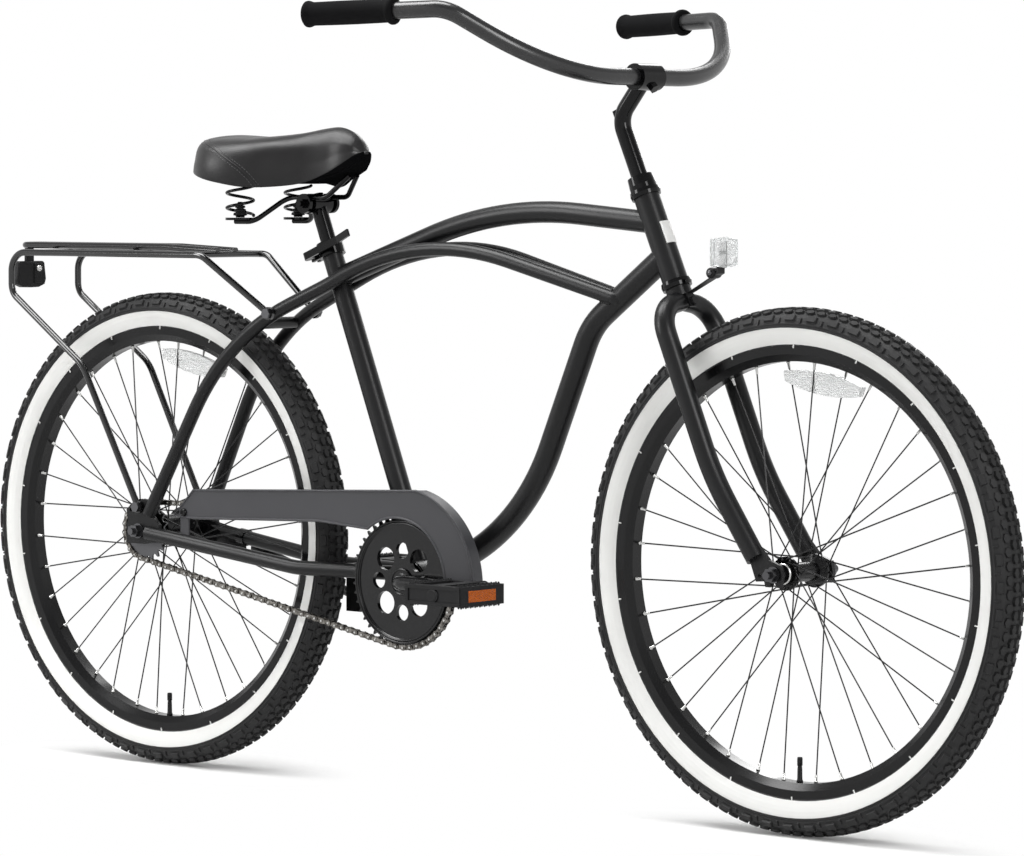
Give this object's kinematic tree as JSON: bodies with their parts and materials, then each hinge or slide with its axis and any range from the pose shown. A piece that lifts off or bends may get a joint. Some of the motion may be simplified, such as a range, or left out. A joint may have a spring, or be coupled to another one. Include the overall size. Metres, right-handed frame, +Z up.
{
  "type": "beach cruiser bicycle",
  "caption": "Step-over cruiser bicycle with curved tubes, swept handlebar, sprung saddle, chain guard, rear rack, coaster brake and whitewall tyres.",
  "frame": {"origin": "on the ground midway between the wheel axles, in the bicycle's middle plane", "axes": "+X forward, +Y to the rider's left, +Z up"},
  "size_m": [1.7935, 0.6754, 1.0612],
  "materials": {
    "frame_black": "satin powder coat",
    "gloss_black": "gloss enamel",
    "badge_white": "satin enamel",
    "guard_grey": "satin enamel",
    "steel": "plated",
    "steel_black": "black plated wire",
    "chain_steel": "oiled",
    "alloy_black": "black anodised",
    "tyre_rubber": "black rubber with a cream sidewall band",
    "grip_rubber": "matte",
    "plastic_black": "matte moulded",
    "vinyl_black": "grained vinyl",
    "lens_clear": "clear prismatic",
    "lens_amber": "amber prismatic",
    "lens_red": "red prismatic"
  },
  "bodies": {
    "frame": {"bottom_bracket_shell": "frame_black", "seat_tube": "frame_black", "head_tube": "frame_black", "head_badge": "badge_white", "top_tube": "frame_black", "down_tube": "frame_black", "dropouts": "frame_black", "side_tubes": "frame_black", "chainstays": "frame_black", "stay_bridges": "frame_black", "rear_axle": "steel", "chain": "chain_steel", "chain_guard": "guard_grey", "coaster_arm": "steel", "kickstand_bracket": "frame_black", "bearing_cups": "gloss_black", "bearing_rings": "steel", "seat_clamp": "gloss_black", "rack_rails": "gloss_black", "rack_deck": "gloss_black", "rack_bolts": "steel", "rear_reflector_housing": "plastic_black", "rear_reflector_lens": "lens_red"},
    "steering": {"fork": "frame_black", "fork_tips": "frame_black", "headset_locknut": "gloss_black", "stem": "gloss_black", "handlebar": "gloss_black", "grips": "grip_rubber", "front_reflector_bracket": "steel_black", "front_reflector": "lens_clear", "front_axle": "steel"},
    "front_wheel": {"front_hub": "alloy_black", "front_spokes": "steel_black", "front_rim": "alloy_black", "front_tyre": "tyre_rubber", "front_wheel_reflector": "lens_clear"},
    "rear_wheel": {"rear_hub": "alloy_black", "rear_spokes": "steel_black", "rear_rim": "alloy_black", "rear_tyre": "tyre_rubber", "rear_wheel_reflector": "lens_clear"},
    "rear_driver": {"rear_cog": "chain_steel"},
    "crankset": {"crank": "gloss_black", "chainring": "gloss_black", "pedal_spindles": "steel"},
    "right_pedal_body": {"right_pedal": "plastic_black", "right_pedal_reflectors": "lens_amber"},
    "left_pedal_body": {"left_pedal": "plastic_black", "left_pedal_reflectors": "lens_amber"},
    "kickstand_leg": {"kickstand": "frame_black"},
    "seat_post_body": {"seat_post": "gloss_black", "saddle_clamp": "gloss_black", "saddle_rails": "steel_black", "saddle_springs": "steel_black"},
    "saddle": {"saddle_cover": "vinyl_black", "saddle_pan": "plastic_black"},
    "seat_lever": {"seat_clamp_lever": "steel"}
  },
  "joints": [
    {"name": "steering_turn", "type": "hinge", "parent": "frame", "child": "steering", "pos_m": [0.35833, 0, 0.69878], "axis": [-0.4051, 0, 0.9143], "range_deg": [-70, 70]},
    {"name": "front_wheel_spin", "type": "hinge", "parent": "steering", "child": "front_wheel", "pos_m": [0.56175, 0, 0.335], "axis": [0, 1, 0], "continuous": true},
    {"name": "rear_wheel_spin", "type": "hinge", "parent": "frame", "child": "rear_wheel", "pos_m": [-0.56175, 0, 0.335], "axis": [0, 1, 0], "continuous": true},
    {"name": "crank_spin", "type": "hinge", "parent": "frame", "child": "crankset", "pos_m": [-0.0709, 0, 0.29], "axis": [0, 1, 0], "continuous": true, "deforming": ["chain"]},
    {"name": "driver_spin", "type": "hinge", "parent": "frame", "child": "rear_driver", "pos_m": [-0.56175, 0, 0.335], "axis": [0, 1, 0], "continuous": true},
    {"name": "right_pedal_spin", "type": "hinge", "parent": "crankset", "child": "right_pedal_body", "pos_m": [0.0991, -0.084, 0.29], "axis": [0, 1, 0], "continuous": true},
    {"name": "left_pedal_spin", "type": "hinge", "parent": "crankset", "child": "left_pedal_body", "pos_m": [-0.2409, 0.084, 0.29], "axis": [0, 1, 0], "continuous": true},
    {"name": "kickstand_fold", "type": "hinge", "parent": "frame", "child": "kickstand_leg", "pos_m": [-0.2369, 0.057, 0.248], "axis": [0, -1, 0], "range_deg": [0, 100]},
    {"name": "seat_height", "type": "slide", "parent": "frame", "child": "seat_post_body", "axis": [-0.3681, 0, 0.9298], "range_m": [-0.035, 0.08]},
    {"name": "saddle_bounce", "type": "hinge", "parent": "seat_post_body", "child": "saddle", "pos_m": [-0.20553, 0, 0.83533], "axis": [0, -1, 0], "range_deg": [0, 4], "stiffness_Nm_per_rad": 900, "deforming": ["saddle_springs"]},
    {"name": "seat_lever_swing", "type": "hinge", "parent": "frame", "child": "seat_lever", "pos_m": [-0.27104, -0.0185, 0.72486], "axis": [0.3681, 0, -0.9298], "range_deg": [0, 170]}
  ],
  "couplings": [
    {"joint": "driver_spin", "follows": "crank_spin", "ratio": 2.2}
  ]
}
